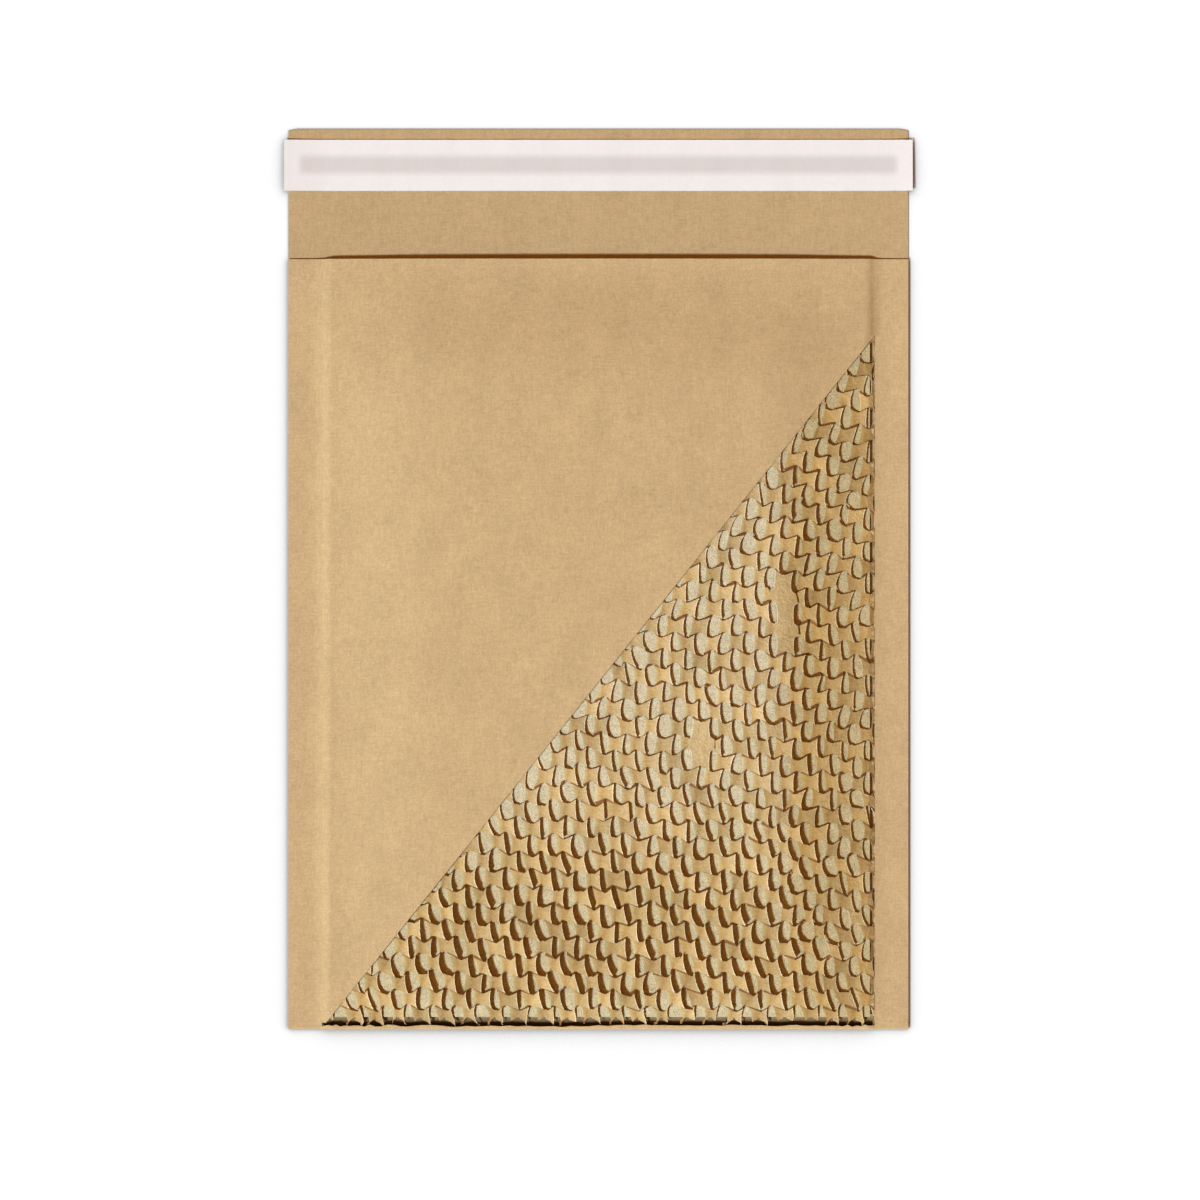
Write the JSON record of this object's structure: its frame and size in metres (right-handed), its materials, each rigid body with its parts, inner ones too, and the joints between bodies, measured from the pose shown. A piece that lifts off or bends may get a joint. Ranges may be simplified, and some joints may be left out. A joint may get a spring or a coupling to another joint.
{
  "type": "padded envelope",
  "caption": "Kraft paper mailing envelope padded with expanded honeycomb paper, its front panel cut away in a triangle to show the comb, with a flap and covered adhesive.",
  "frame": {"origin": "middle of the envelope's outline, on the floor under its back panel", "axes": "+Z out of the front panel, +Y from the bottom fold to the flap's tip, +X to the right as seen from the front"},
  "size_m": [0.2432, 0.3486, 0.0125],
  "materials": {
    "kraft_paper": "plain brown kraft paper, matt, fine fibres",
    "honeycomb_paper": "slit and expanded kraft paper, matt",
    "liner_paper": "thin greyish recycled tissue, finely specked",
    "paper_glue": "dried seam glue",
    "flap_adhesive": "pressure-sensitive adhesive",
    "release_paper": "smooth white release paper"
  },
  "bodies": {
    "root": {"outer_sheet": "kraft_paper", "honeycomb_pad_front": "honeycomb_paper", "honeycomb_pad_back": "honeycomb_paper", "inner_liner": "liner_paper", "seam_glue_left": "paper_glue", "seam_glue_right": "paper_glue", "adhesive_strip": "flap_adhesive", "release_strip": "release_paper"}
  },
  "joints": []
}
